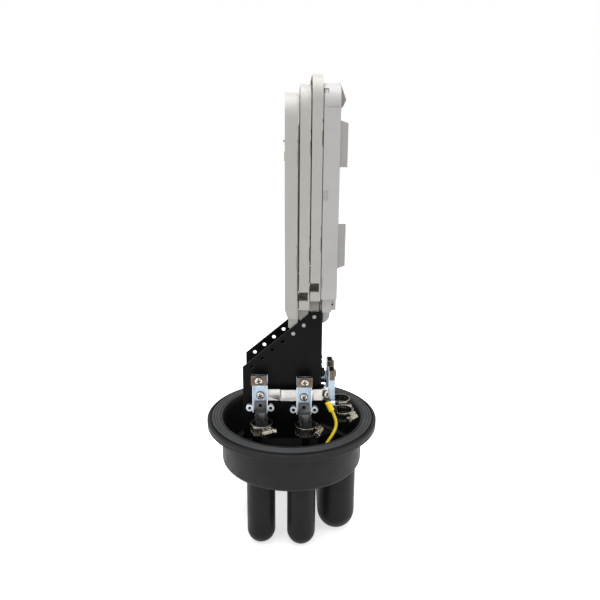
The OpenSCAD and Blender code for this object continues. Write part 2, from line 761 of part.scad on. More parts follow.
module worm_housing(i) {
    length = 11;
    depth = 7.6;
    color([0.76, 0.74, 0.68]) at_worm(i) difference() {
        union() {
            translate([-length / 2, -depth / 2, -band_h / 2]) cube([length, depth / 2 - 0.1, band_h]);
            translate([-length / 2, -depth / 2, 0]) rotate([0, 90, 0]) cylinder(r = depth / 2, h = length);
        }
        translate([-length, -depth / 2, 0]) rotate([0, 90, 0]) cylinder(r = worm_r + 0.1, h = 2 * length);
        translate([0, hose_r + band_t, -band_h]) cylinder(r = hose_r + band_t + 0.05, h = 2 * band_h);
    }
}

module worm_screws() {
    color([0.78, 0.77, 0.74]) for (i = [0:clamp_count - 1]) at_worm(i) translate([-6.5, -3.8, 0])
        rotate([0, 90, 0]) {
            cylinder(r = worm_r, h = 13);
            translate([0, 0, 13 - eps]) cylinder(r = 3.6, h = 1);
            translate([0, 0, 14 - 2 * eps]) cylinder(r = 4, h = 3.6, $fn = 6);
        }
}

// ---------- earth bonding ----------

// Cut of the strip's corners at a distance from the frame
function strip_cut(out) = corner_cut - (standoff + strip_t - out) * (2 - sqrt(2));

// Plan of one edge of the bonding strip, round the front, right and back of the frame
function strip_edge(out) =
    let (y = plate_y + out, x = web_x + out, c = strip_cut(out), left = clamps[0][1] - 7)
    [[left, -y], [-14.6, -y], [-12.6, -y - joggle], [24.4, -y - joggle], [26.4, -y], [x - c, -y], [x, -y + c],
        [x, y - c], [x - c, y], [left, y]];

function reversed(list) = [for (i = [len(list) - 1:-1:0]) list[i]];

corner_mid = [web_x + standoff + strip_t - corner_cut / 2, -plate_y - standoff - strip_t + corner_cut / 2];

module bonding_strip() {
    outer = standoff + strip_t;
    color([0.78, 0.77, 0.74]) difference() {
        translate([0, 0, strip_z - strip_h / 2]) linear_extrude(strip_h)
            polygon(concat(strip_edge(outer), reversed(strip_edge(standoff))));
        for (i = [0:clamp_count - 1]) at_clamp(i) facing_out(0, 0, 19.4)
            cylinder(r = 2.5 + fit, h = channel_y + 1);
        at_corner() translate([0, 0, -3]) cylinder(r = 2.5 + fit, h = 4);
    }
}

// The cut corner of the strip, with +Z pointing out of its face
module at_corner() {
    translate([corner_mid[0], corner_mid[1], strip_z]) rotate([0, 0, 45]) rotate([90, 0, 0]) children();
}

module earth_screw() {
    nut_t = 2.5;
    color([0.83, 0.75, 0.5]) at_corner() {
        translate([0, 0, lug_t]) pan_screw(4.5, 2.8, 2.5, 8);
        translate([0, 0, -strip_t - nut_t]) tube(4, 2.5, nut_t);
    }
}

// World position of a point given in the cut corner's own axes
function corner_point(p) =
    [corner_mid[0] + (p[0] + p[2]) / sqrt(2), corner_mid[1] + (p[0] - p[2]) / sqrt(2), strip_z + p[1]];

// Ring terminal with a sleeve that ends where the wire starts
module earth_lug() {
    low = wire_route[0];
    top = low - sleeve_l * wire_dir(wire_route, 0);
    neck = corner_point([0, -6.5, 1.5]);
    neck_r = 1.4;
    color([0.93, 0.8, 0.1]) {
        at_corner() {
            tube(4.6, 2.6, lug_t);
            translate([-2, -7.6, 0]) cube([4, 3.5, lug_t]);
        }
        translate(neck) sphere(neck_r);
        rod(neck, top + 0.5 * (low - top) / sleeve_l, neck_r);
        rod(top, low, sleeve_r);
    }
}

// Cylinder from one point to another
module rod(a, b, r) {
    v = b - a;
    length = norm(v);
    translate(a) rotate([0, acos(v[2] / length), atan2(v[1], v[0])]) cylinder(r = r, h = length, $fn = 32);
}

// Unit vector along the wire at a point of its route
function wire_dir(p, i) =
    let (a = p[max(i - 1, 0)], b = p[min(i + 1, len(p) - 1)]) (b - a) / norm(b - a);

function wire_ring(p, i, r, sides) =
    let (d = wire_dir(p, i), u = cross(d, [0, 1, 0]) / norm(cross(d, [0, 1, 0])), v = cross(d, u))
    [for (k = [0:sides - 1]) p[i] + r * (cos(k * 360 / sides) * u + sin(k * 360 / sides) * v)];

module earth_wire() {
    sides = 8;
    n = len(wire_route);
    points = [for (i = [0:n - 1]) each wire_ring(wire_route, i, wire_d / 2, sides)];
    walls = [for (i = [0:n - 2], k = [0:sides - 1])
        [i * sides + k, i * sides + (k + 1) % sides, (i + 1) * sides + (k + 1) % sides, (i + 1) * sides + k]];
    first = [for (k = [sides - 1:-1:0]) k];
    last = [for (k = [0:sides - 1]) (n - 1) * sides + k];
    color([0.95, 0.82, 0.05]) polyhedron(points, concat([first], walls, [last]));
}

// Ring terminal on the floor of the cup, with its sleeve bent upright round the wire's end
module floor_lug() {
    low = wire_route[len(wire_route) - 1];
    seat = floor_z + 1;
    reach = [low[0] - stud_xy[0], low[1] - stud_xy[1]];
    color([0.93, 0.8, 0.1]) {
        translate([stud_xy[0], stud_xy[1], seat]) {
            tube(5, 3.1, lug_t);
            rotate(atan2(reach[1], reach[0])) translate([4, -2.2, 0]) cube([norm(reach) - 4, 4.4, lug_t]);
        }
        translate([low[0], low[1], seat]) cylinder(r = sleeve_r, h = low[2] - seat);
    }
}

module earth_stud() {
    color([0.8, 0.7, 0.4]) translate([stud_xy[0], stud_xy[1], floor_z - 1.3])
        cylinder(r = 2.9, h = stud_h);
}

module earth_nut() {
    color([0.78, 0.76, 0.7]) translate([stud_xy[0], stud_xy[1], floor_z + 1 + lug_t]) difference() {
        cylinder(r = 5.2, h = 4, $fn = 6);
        translate([0, 0, -1]) cylinder(r = 3, h = 6);
    }
}

// ---------- assembly ----------

base();
for (i = [0:3]) round_port(i);
oval_port();
seal_ring();
hinge_frame();
front_plate();
frame_screws();
storage_box();
box_screws();
tray_lid();
bonding_strip();
standoffs();
channel_screws();
block_screws();
worm_screws();
for (i = [0:tray_count - 1]) {
    splice_tray(i);
    splice_holder(i);
}
for (i = [0:clamp_count - 1]) {
    clamp_channel(i);
    clamp_block(i);
    cable_saddle(i);
    hose_band(i);
    worm_housing(i);
}
earth_screw();
earth_lug();
earth_wire();
floor_lug();
earth_stud();
earth_nut();
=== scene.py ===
import bpy
import bmesh
import itertools
import json
import math
from mathutils import Matrix, Vector


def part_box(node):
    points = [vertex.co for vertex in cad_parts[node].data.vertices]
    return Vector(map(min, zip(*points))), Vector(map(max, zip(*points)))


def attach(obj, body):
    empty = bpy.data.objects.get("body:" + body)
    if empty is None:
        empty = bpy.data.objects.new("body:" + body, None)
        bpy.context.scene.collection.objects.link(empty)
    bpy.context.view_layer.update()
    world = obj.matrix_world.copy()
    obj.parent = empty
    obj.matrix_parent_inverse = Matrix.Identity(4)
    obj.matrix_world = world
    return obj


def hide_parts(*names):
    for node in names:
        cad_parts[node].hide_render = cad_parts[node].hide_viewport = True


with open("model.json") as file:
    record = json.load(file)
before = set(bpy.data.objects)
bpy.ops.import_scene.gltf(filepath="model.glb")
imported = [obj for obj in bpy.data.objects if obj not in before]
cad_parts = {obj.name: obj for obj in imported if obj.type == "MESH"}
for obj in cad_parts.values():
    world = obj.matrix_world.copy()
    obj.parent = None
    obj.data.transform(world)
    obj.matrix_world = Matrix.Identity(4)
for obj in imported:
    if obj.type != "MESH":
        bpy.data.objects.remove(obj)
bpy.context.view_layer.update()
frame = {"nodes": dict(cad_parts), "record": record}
nodes = frame["nodes"]
bodyOf = {n: b for b, members in frame["record"]["behaviour"]["bodies"].items() for n in members}
slotOf = {s["node"]: s["material_slot"] for s in frame["record"]["subparts"]}
mm = 0.001
weld = 0.004 * mm  # points nearer to each other than this are one point
print("frame loaded:", len(nodes), "nodes")


def link(piece):
    bpy.context.scene.collection.objects.link(piece)
    return piece


# ---- camera, level with the upper half of the trays and tipped down a little ----

camera = {
    "place": (-0.48, -662.0, 459.8),
    "lens": 33.47,
    "pitch": 0.245,
    "yaw": 0.015,
    "roll": 0.008,
}


def makeCamera(settings):
    yaw, pitch, roll = settings["yaw"], settings["pitch"], settings["roll"]
    forward = Vector((math.sin(yaw) * math.cos(pitch), math.cos(yaw) * math.cos(pitch), -math.sin(pitch)))
    level = Vector((math.cos(yaw), -math.sin(yaw), 0))
    upright = level.cross(forward)
    right = level * math.cos(roll) + upright * math.sin(roll)
    up = upright * math.cos(roll) - level * math.sin(roll)
    place = Vector(settings["place"]) * mm
    data = bpy.data.cameras.new("camera")
    data.lens = settings["lens"]
    data.sensor_width = 36
    data.clip_start = 0.01
    data.clip_end = 50
    view = link(bpy.data.objects.new("camera", data))
    view.matrix_world = Matrix((
        (right.x, up.x, -forward.x, place.x),
        (right.y, up.y, -forward.y, place.y),
        (right.z, up.z, -forward.z, place.z),
        (0, 0, 0, 1),
    ))
    bpy.context.scene.camera = view


makeCamera(camera)
print("camera made")

# ---- materials ----


def addNode(tree, kind, **values):  # values go to the settings or, failing that, the sockets
    node = tree.nodes.new(kind)
    for key, value in values.items():
        if hasattr(node, key):
            setattr(node, key, value)
        else:
            node.inputs[key.replace("_", " ")].default_value = value
    return node


def objectPoints(tree, stretch=(1, 1, 1)):
    points = addNode(tree, "ShaderNodeTexCoord")
    mapping = addNode(tree, "ShaderNodeMapping")
    mapping.inputs["Scale"].default_value = stretch
    tree.links.new(points.outputs["Object"], mapping.inputs["Vector"])
    return mapping.outputs["Vector"]


def noise(tree, scale, detail=3.0, roughness=0.55, stretch=(1, 1, 1)):
    texture = addNode(tree, "ShaderNodeTexNoise", Scale=scale, Detail=detail, Roughness=roughness)
    tree.links.new(objectPoints(tree, stretch), texture.inputs["Vector"])
    return texture.outputs["Fac"]


def span(tree, factor, low, high, fromLow=0.3, fromHigh=0.7):
    ranged = addNode(tree, "ShaderNodeMapRange", clamp=True)
    for name, value in (("From Min", fromLow), ("From Max", fromHigh), ("To Min", low), ("To Max", high)):
        ranged.inputs[name].default_value = value
    tree.links.new(factor, ranged.inputs["Value"])
    return ranged.outputs["Result"]


def blendColours(tree, factor, dark, light):
    mix = addNode(tree, "ShaderNodeMix", data_type="RGBA")
    mix.inputs[6].default_value = (*dark, 1)
    mix.inputs[7].default_value = (*light, 1)
    tree.links.new(factor, mix.inputs[0])
    return mix.outputs[2]


def plus(tree, a, b, weight=1.0):  # a and so much of b
    node = addNode(tree, "ShaderNodeMath", operation="MULTIPLY_ADD")
    tree.links.new(b, node.inputs[0])
    node.inputs[1].default_value = weight
    tree.links.new(a, node.inputs[2])
    return node.outputs[0]


def bump(tree, shader, height, strength, distance):
    node = addNode(tree, "ShaderNodeBump", Strength=strength, Distance=distance)
    tree.links.new(height, node.inputs["Height"])
    tree.links.new(node.outputs["Normal"], shader.inputs["Normal"])


def newMaterial(name, **sockets):
    material = bpy.data.materials.new(name)
    material.use_nodes = True
    shader = material.node_tree.nodes["Principled BSDF"]
    for key, value in sockets.items():
        shader.inputs[key.replace("_", " ")].default_value = value
    return material, material.node_tree, shader


def mouldedPlastic(name, dark, light, roughness, grain=2200, grainDepth=0.04, specular=0.5, blotch=26,
                   scatter=0.0):
    material, tree, shader = newMaterial(name, Specular_IOR_Level=specular)
    cloud = noise(tree, blotch, 4)
    fine = noise(tree, 420, 3)
    tone = plus(tree, cloud, fine, 0.35)
    colour = blendColours(tree, span(tree, tone, 0, 1, 0.42, 0.92), dark, light)
    tree.links.new(colour, shader.inputs["Base Color"])
    rough = span(tree, noise(tree, 95, 5), roughness - 0.06, roughness + 0.08)
    tree.links.new(rough, shader.inputs["Roughness"])
    bump(tree, shader, plus(tree, noise(tree, grain, 2), noise(tree, 60, 2), 0.6), 0.35, grainDepth * mm)
    if scatter:
        shader.inputs["Subsurface Weight"].default_value = scatter
        shader.inputs["Subsurface Radius"].default_value = (0.003, 0.0026, 0.0022)
        shader.inputs["Subsurface Scale"].default_value = 0.6
    return material


def platedMetal(name, dark, light, roughness, cloudScale=70, brush=(1, 1, 1)):
    material, tree, shader = newMaterial(name, Metallic=1.0)
    cloud = noise(tree, cloudScale, 5, 0.6)
    stain = noise(tree, cloudScale * 5, 4, 0.65)
    colour = blendColours(tree, span(tree, plus(tree, cloud, stain, 0.4), 0, 1, 0.5, 0.95), dark, light)
    tree.links.new(colour, shader.inputs["Base Color"])
    lines = noise(tree, 900, 3, 0.6, brush)
    rough = span(tree, plus(tree, lines, cloud, 0.5), roughness - 0.09, roughness + 0.13, 0.45, 1.0)
    tree.links.new(rough, shader.inputs["Roughness"])
    bump(tree, shader, plus(tree, lines, noise(tree, 240, 2), 0.5), 0.3, 0.02 * mm)
    return material


def makeMaterials():
    made = {
        "blackMoulding": mouldedPlastic(
            "blackMoulding", (0.0074, 0.0074, 0.0078), (0.013, 0.013, 0.0136), 0.48, specular=0.16),
        # darker than blackMoulding to paint in the shade under the body, with less sheen than the cup
        "portMoulding": mouldedPlastic(
            "blackMouldingFineShaded", (0.006, 0.006, 0.0063), (0.011, 0.011, 0.0114), 0.42, specular=0.12),
        # near-black: painted shade on the cup's inner floor and in the groove outside the seal
        "paintedShadeBlack": mouldedPlastic(
            "shadedMoulding", (0.003, 0.003, 0.0032), (0.006, 0.006, 0.0063), 0.6, specular=0.08),
        "seal": mouldedPlastic(
            "sealRubber", (0.013, 0.0146, 0.0162), (0.023, 0.0256, 0.028), 0.52, grain=3200, specular=0.36),
        "blackSteel": mouldedPlastic(
            "blackPowderCoat", (0.0022, 0.0022, 0.0024), (0.0045, 0.0045, 0.005), 0.42, grain=1300,
            grainDepth=0.06, specular=0.085),
        "trays": mouldedPlastic(
            "trayPlastic", (0.378, 0.363, 0.338), (0.424, 0.409, 0.384), 0.42, specular=0.35, blotch=18,
            scatter=0.12),
        "trayFlat": mouldedPlastic(
            "texturedTrayPlastic", (0.368, 0.353, 0.328), (0.414, 0.399, 0.374), 0.85, specular=0.02,
            blotch=18),
        "box": mouldedPlastic(
            "boxPlastic", (0.388, 0.375, 0.366), (0.438, 0.424, 0.416), 0.42, specular=0.35, blotch=18,
            scatter=0.12),
        "boxFlat": mouldedPlastic(
            "texturedBoxPlastic", (0.378, 0.365, 0.356), (0.428, 0.414, 0.406), 0.85, specular=0.02,
            blotch=18),
        # a darker box plastic: painted shade on the guards and on the catches in the recesses
        "guards": mouldedPlastic(
            "shadedBoxPlastic", (0.300, 0.291, 0.283), (0.340, 0.330, 0.322), 0.44, specular=0.3, blotch=18,
            scatter=0.1),
        "holder": mouldedPlastic("holderPlastic", (0.60, 0.60, 0.57), (0.72, 0.72, 0.70), 0.45, scatter=0.2),
        "saddle": mouldedPlastic(
            "saddlePlastic", (0.013, 0.014, 0.016), (0.072, 0.075, 0.080), 0.22, grain=300, grainDepth=0.25,
            specular=0.9),
        "wire": mouldedPlastic(
            "wireInsulation", (0.60, 0.46, 0.012), (0.74, 0.59, 0.018), 0.33, grain=900, specular=0.5),
        "sleeve": mouldedPlastic(
            "sleevePlastic", (0.72, 0.53, 0.01), (0.84, 0.65, 0.02), 0.36, grain=1100, specular=0.5),
        "zinc": platedMetal(
            "bluePassivatedZinc", (0.265, 0.34, 0.42), (0.49, 0.58, 0.665), 0.36, brush=(1, 1, 0.08)),
        # a brighter zinc: painted highlight on the channels' flange edges and eyes
        "zincHighlight": platedMetal(
            "highlitZinc", (0.36, 0.40, 0.44), (0.68, 0.72, 0.76), 0.30, brush=(1, 1, 0.08)),
        "nickel": platedMetal(
            "nickelPlate", (0.065, 0.047, 0.036), (0.195, 0.154, 0.119), 0.30, cloudScale=150),
        "strip": platedMetal(
            "bondingStripNickel", (0.47, 0.458, 0.44), (0.65, 0.63, 0.603), 0.34, brush=(0.08, 0.08, 1)),
        "screw": platedMetal("screwNickel", (0.36, 0.335, 0.30), (0.76, 0.73, 0.68), 0.20, cloudScale=190),
        # dark dull nickel: the upper earth lug's finish, and painted shade in the screw recesses and round
        # the sides of the heads
        "recess": platedMetal(
            "dullNickelAndRecessShade", (0.045, 0.042, 0.038), (0.14, 0.13, 0.12), 0.42, cloudScale=160),
        "stainless": platedMetal(
            "stainlessStrip", (0.17, 0.155, 0.125), (0.52, 0.49, 0.42), 0.22, cloudScale=190),
        "tin": platedMetal("tinPlate", (0.46, 0.46, 0.45), (0.72, 0.72, 0.70), 0.27, cloudScale=150),
        "brass": platedMetal(
            "yellowPassivate", (0.48, 0.38, 0.18), (0.80, 0.70, 0.46), 0.25, cloudScale=150),
    }
    print("materials made:", len(made))
    return made


paint = makeMaterials()
paintOfSlot = {
    "black_moulding": "blackMoulding",
    "seal": "seal",
    "black_steel": "blackSteel",
    "tray_plastic": "trays",
    "box_plastic": "box",
    "holder_plastic": "holder",
    "zinc": "zinc",
    "nickel": "nickel",
    "saddle_plastic": "saddle",
    "stainless": "stainless",
    "wire_insulation": "wire",
    "lug_sleeve": "sleeve",
    "brassed_steel": "brass",
}

# ---- earth wire ----

earthWire = {
    "route": [
        (48.5, -38.5, 165.5), (50.5, -39.2, 161.5), (52.2, -40.2, 157.5), (53.4, -41.4, 153.5),
        (53.7, -43, 149.5), (52.8, -45.3, 145.5), (51, -47.4, 142), (48.6, -49.4, 138.5),
        (45.8, -51.4, 135), (43, -53.2, 131.5), (40.2, -54.8, 127.5), (37.8, -56, 123),
        (35.8, -56.8, 118), (34.4, -57, 113), (33.5, -57, 107.5), (33.5, -57, 102),
    ],
    "diameter": 3.8,
}


def makeWire(wire):
    route = [Vector(p) * mm for p in wire["route"]]
    line = bpy.data.curves.new("earthWire", "CURVE")
    line.dimensions = "3D"
    line.bevel_depth = wire["diameter"] / 2 * mm
    line.bevel_resolution = 6
    line.resolution_u = 6
    line.use_fill_caps = True
    spline = line.splines.new("BEZIER")
    spline.bezier_points.add(len(route) - 1)
    for point, place in zip(spline.bezier_points, route):
        point.co = place
        point.handle_left_type = point.handle_right_type = "AUTO"
    piece = link(bpy.data.objects.new("earthWire", line))
    piece.data.materials.append(paint["wire"])
    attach(piece, "housing")
    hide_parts("earth_wire")


makeWire(earthWire)
print("wire made")

# ---- shared modelling steps ----


def meshPiece(name, bm, finishes, body, smoothAngle=35):
    mesh = bpy.data.meshes.new(name)
    bm.to_mesh(mesh)
    bm.free()
    mesh.shade_smooth()
    mesh.set_sharp_from_angle(angle=math.radians(smoothAngle))
    piece = link(bpy.data.objects.new(name, mesh))
    for finish in finishes:
        mesh.materials.append(paint[finish])
    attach(piece, body)
    return piece


def merged(members):
    bm = bmesh.new()
    for node in members:
        bm.from_mesh(nodes[node].data)
    bmesh.ops.remove_doubles(bm, verts=bm.verts, dist=weld)
    if len(members) > 1:
        dropTouching(bm)
    bmesh.ops.dissolve_limit(bm, angle_limit=math.radians(0.6), verts=bm.verts, edges=bm.edges)
    return bm


def dropTouching(bm):  # faces where two solids meet, so that they become one skin
    planes = {}
    for face in bm.faces:
        x, y, z = face.normal
        level = face.calc_center_median().dot(face.normal)
        planes.setdefault((round(x, 2), round(y, 2), round(z, 2), round(level, 5)), []).append(face)
    touching = []
    for (x, y, z, level), faces in planes.items():
        facing = planes.get((-x, -y, -z, -level), [])
        for face in faces:
            centre = face.calc_center_median()
            if any(bmesh.geometry.intersect_face_point(other, centre) for other in facing):
                touching.append(face)
    bmesh.ops.delete(bm, geom=touching, context="FACES_ONLY")
    bmesh.ops.remove_doubles(bm, verts=bm.verts, dist=weld)


# The trays' floors and rims, set back to leave clear gaps between the trays
padHeight = 0.49  # spacing pads that stand on the floors of the trays
wideFaced = ("splice_tray_1", "splice_tray_2", "splice_tray_3", "tray_lid", "storage_box")
setBack = {
    "neck": 50,  # below this height the trays' entries stay as they are
    "step": 1.5,
    "near": 0.05,
    "rim": {"splice_tray_3": 0, "splice_tray_2": 0, "splice_tray_1": 0.25},
    "floor": {"splice_tray_3": 1.0, "splice_tray_2": 0.3, "splice_tray_1": 0.1},
}


def setFacesBack(bm, node, back):
    low, high = boxOf(node)
    start = low.z + back["neck"] * mm
    for height in (start, start + back["step"] * mm):
        bmesh.ops.bisect_plane(bm, geom=bm.verts[:] + bm.edges[:] + bm.faces[:], plane_co=(0, 0, height),
                               plane_no=(0, 0, 1))
    near = back["near"] * mm
    for v in bm.verts:
        if v.co.z < start + back["step"] * mm - near:
            continue
        if v.co.x < low.x + near:
            v.co.x += back["rim"][node] * mm
        elif v.co.x > high.x - padHeight * mm - near:
            v.co.x -= back["floor"][node] * mm


def softened(node, width, material, members, others):
    bm = merged(members)
    if node in setBack["floor"]:
        setFacesBack(bm, node, setBack)
    paints = [material]
    for face in bm.faces:
        face.material_index = 0
    for name, chosen in others:
        for face in bm.faces:
            if chosen(face):
                face.material_index = len(paints)
        paints.append(name)
    piece = meshPiece(node + "_moulded", bm, paints, bodyOf[node])
    edge = piece.modifiers.new("edge", "BEVEL")
    edge.width = width * mm
    edge.segments = 2
    edge.limit_method = "ANGLE"
    edge.angle_limit = math.radians(38)
    edge.miter_outer = "MITER_ARC"
    edge.harden_normals = node not in wideFaced
    if node in wideFaced:
        shade = piece.modifiers.new("shade", "WEIGHTED_NORMAL")
        shade.weight = 90
        shade.keep_sharp = True
    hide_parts(*members)


def islands(node):  # the points of each separate solid of a node
    bm = bmesh.new()
    bm.from_mesh(nodes[node].data)
    bmesh.ops.remove_doubles(bm, verts=bm.verts, dist=weld)
    left = set(bm.verts)
    found = []
    while left:
        stack = [left.pop()]
        places = []
        while stack:
            v = stack.pop()
            places.append(v.co.copy())
            for other in (e.other_vert(v) for e in v.link_edges):
                if other in left:
                    left.remove(other)
                    stack.append(other)
        found.append(places)
    bm.free()
    return sorted(found, key=lambda places: tuple(min(p[k] for p in places) for k in range(3)))


def middle(places):
    return Vector((min(p[k] for p in places) + max(p[k] for p in places)) / 2 for k in range(3))


def boxOf(node):
    return [Vector(corner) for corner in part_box(node)]


def centreOf(node):
    low, high = boxOf(node)
    return (low + high) / 2


def extent(places, way):  # how far the points reach along a direction
    along = [p.dot(way) for p in places]
    return min(along), max(along)


def frameAlong(place, axis, side=(0, 0, 1)):  # z lies on the axis and y leans to the side
    z = Vector(axis).normalized()
    y = (Vector(side) - z * z.dot(Vector(side))).normalized()
    x = y.cross(z)
    return Matrix((
        (x.x, y.x, z.x, place.x),
        (x.y, y.y, z.y, place.y),
        (x.z, y.z, z.z, place.z),
        (0, 0, 0, 1),
    ))


def join(bm, part, where=None):
    if where:
        bmesh.ops.transform(part, matrix=where, verts=part.verts)
    mesh = bpy.data.meshes.new("part")
    part.to_mesh(mesh)
    part.free()
    bm.from_mesh(mesh)
    bpy.data.meshes.remove(mesh)


def block(size):
    part = bmesh.new()
    bmesh.ops.create_cube(part, size=1)
    bmesh.ops.transform(part, matrix=Matrix.Diagonal((*(d * mm for d in size), 1)), verts=part.verts)
    return part


def rounded(part, edge):
    bmesh.ops.bevel(part, geom=part.edges, offset=edge * mm, offset_type="OFFSET", segments=2,
                    profile=0.5, affect="EDGES", material=-1)


def closeEnds(part):
    bmesh.ops.holes_fill(part, edges=[e for e in part.edges if e.is_boundary], sides=0)
    bmesh.ops.recalc_face_normals(part, faces=part.faces)


def lathe(profile, sides):
    part = bmesh.new()
    line = [part.verts.new((r * mm, 0, z * mm)) for r, z in profile]
    edges = [part.edges.new(pair) for pair in zip(line, line[1:])]
    bmesh.ops.spin(part, geom=line + edges, cent=(0, 0, 0), axis=(0, 0, 1), dvec=(0, 0, 0), angle=math.tau,
                   steps=sides, use_merge=True)
    bmesh.ops.remove_doubles(part, verts=part.verts, dist=0.001 * mm)
    closeEnds(part)
    return part


def spun(bm, profile, where, sides=48):
    join(bm, lathe(profile, sides), where)


def thread(bm, where, form):  # a thread with both ends cut square
    part = bmesh.new()
    sides = 32
    pitch, core, crest = form["pitch"], form["core"], form["radius"]
    turns = math.ceil(form["length"] / pitch) + 2
    shape = [(core, 0), (core, 0.18), (crest, 0.42), (crest, 0.6), (core, 0.86), (core, 1)]
    line = [part.verts.new((r * mm, 0, (z - 1.5) * pitch * mm)) for r, z in shape]
    edges = [part.edges.new(pair) for pair in zip(line, line[1:])]
    bmesh.ops.spin(part, geom=line + edges, cent=(0, 0, 0), axis=(0, 0, 1), dvec=(0, 0, pitch * mm / sides),
                   angle=math.tau * turns, steps=sides * turns, use_merge=False)
    bmesh.ops.remove_doubles(part, verts=part.verts, dist=0.002 * mm)
    for level, way in ((0, -1), (form["length"] * mm, 1)):
        everything = list(part.verts) + list(part.edges) + list(part.faces)
        bmesh.ops.bisect_plane(part, geom=everything, dist=0.0001 * mm, plane_co=(0, 0, level),
                               plane_no=(0, 0, way), clear_outer=True, clear_inner=False)
    closeEnds(part)
    join(bm, part, where)


def swept(bm, frames, sides=24):  # a round bar through a row of frames
    part = bmesh.new()
    ring = bmesh.ops.create_circle(part, cap_ends=True, radius=1, segments=sides)["verts"]
    edges = list(part.edges)
    bmesh.ops.transform(part, matrix=frames[0], verts=ring)
    for last, following in zip(frames, frames[1:]):
        made = bmesh.ops.extrude_edge_only(part, edges=edges)["geom"]
        ring = [g for g in made if isinstance(g, bmesh.types.BMVert)]
        edges = [g for g in made if isinstance(g, bmesh.types.BMEdge) and all(v in ring for v in g.verts)]
        bmesh.ops.transform(part, matrix=following @ last.inverted(), verts=ring)
    closeEnds(part)
    join(bm, part)


def smoothStep(low, high, value):
    t = min(max((value - low) / (high - low), 0), 1)
    return t * t * (3 - 2 * t)


def crossRecess(x, y, screw):
    arm, reach = min(abs(x), abs(y)), max(abs(x), abs(y))
    across = 1 - smoothStep(screw["arm"] * 0.75, screw["arm"] * 1.25, arm)
    along = 1 - smoothStep(screw["reach"] * 0.8, screw["reach"], reach)
    hub = 1 - smoothStep(screw["arm"] * 1.6, screw["arm"] * 2.3, math.hypot(x, y))
    return max(across * along, hub)


def slotRecess(x, y, screw):
    return 1 - smoothStep(screw["arm"] * 0.8, screw["arm"] * 1.2, abs(y))


def hexScale(angle):
    part = (angle + math.pi / 6) % (math.pi / 3) - math.pi / 6
    return math.cos(math.pi / 6) / math.cos(part)


headRings = (0, 0.1, 0.17, 0.24, 0.31, 0.38, 0.45, 0.52, 0.59, 0.66, 0.74, 0.82, 0.89, 0.94, 0.975, 1.0)


def screwHead(bm, where, screw, turn):
    recess = slotRecess if screw.get("slot") else crossRecess
    radius, height, rim = screw["radius"], screw["height"], screw["rim"]
    profile = []
    for t in headRings:
        fall = smoothStep(0.8, 1, t) if screw.get("hex") else t ** 2.4
        profile.append((t * radius, height - screw["crown"] * fall))
    profile += [(radius, 0.4 * rim), (radius - 0.3 * rim, 0), (0, 0)]
    head = lathe(profile, screw["sides"])
    for v in head.verts:
        x, y = v.co.x / mm, v.co.y / mm
        onTop = v.co.z > 0.3 * height * mm and math.hypot(x, y) < radius * 0.999
        if onTop or screw.get("slot"):
            floor = max(v.co.z / mm - screw["depth"] * recess(x, y, screw), 0.15 * height)
            v.co.z = min(v.co.z, floor * mm)
        if screw.get("hex"):
            v.co.xy *= hexScale(math.atan2(y, x))
    # recess faces and the side of the head below the crown take the dark second finish: painted shade
    for face in head.faces:
        centre = face.calc_center_median() / mm
        face.material_index = 0
        if centre.z > 0.1 * height and math.hypot(centre.x, centre.y) < radius * 0.93:
            face.material_index = 1 if recess(centre.x, centre.y, screw) > 0.5 else 0
        elif centre.z < height - 0.8 * screw["crown"]:
            face.material_index = 1
    join(bm, head, where @ Matrix.Rotation(turn, 4, "Z"))


# ---- screws ----

turnedHead = {"rim": 1, "sides": 64}
screwKinds = {
    "block_screws": {
        **turnedHead, "radius": 4.65, "height": 2.4, "crown": 1.0, "arm": 0.62, "reach": 2.7, "depth": 1.5,
        "shank": 2.0, "core": 1.7, "pitch": 0.8, "paint": "screw",
    },
    "channel_screws": {
        **turnedHead, "radius": 4.75, "height": 3.0, "crown": 1.2, "arm": 0.68, "reach": 2.9, "depth": 1.8,
        "shank": 2.5, "core": 2.1, "pitch": 0.8, "paint": "screw",
    },
    "frame_screws": {
        **turnedHead, "radius": 3.8, "height": 2.6, "crown": 1.0, "arm": 0.55, "reach": 2.3, "depth": 1.5,
        "shank": 1.8, "core": 1.4, "pitch": 1.4, "paint": "zinc",
    },
    "box_screws": {
        **turnedHead, "radius": 3.4, "height": 2.0, "crown": 0.8, "arm": 0.5, "reach": 2.1, "depth": 1.2,
        "shank": 1.9, "core": 1.6, "pitch": 0.7, "paint": "zinc",
    },
    "earth_screw": {
        **turnedHead, "radius": 4.5, "height": 2.8, "crown": 1.1, "arm": 0.66, "reach": 2.8, "depth": 1.7,
        "shank": 2.5, "core": 2.1, "pitch": 0.8, "paint": "screw",
    },
}
screwTurns = (0.3, 1.1, 0.7, 0.15, 0.9, 0.5)  # angles of the recesses, as left by the screwdriver


def screwAt(bm, places, axis, screw, turn):  # from the far end of the CAD screw to its tail
    up = Vector((0, 0, 1)) if abs(axis.z) < 0.5 else Vector((0, 1, 0))
    tail, reach = extent(places, axis)
    seat = axis * (reach - screw["height"] * mm)
    for way in (up, up.cross(axis)):
        seat += way * sum(extent(places, way)) / 2
    screwHead(bm, frameAlong(seat, axis, up), screw, turn)
    length = (reach - tail) / mm - screw["height"]
    thread(bm, frameAlong(seat - axis * length * mm, axis, up),
           {"length": length + 0.1, "pitch": screw["pitch"], "radius": screw["shank"] - 0.02,
            "core": screw["core"]})
    return seat


def makeScrews(node, axisOf):
    screw = screwKinds[node]
    bm = bmesh.new()
    for places, turn in zip(islands(node), itertools.cycle(screwTurns)):
        screwAt(bm, places, axisOf(middle(places)), screw, turn)
    piece = meshPiece(node + "Turned", bm, [screw["paint"], "recess"], bodyOf[node], 32)
    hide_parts(node)


frameHigh = boxOf("hinge_frame")[1]


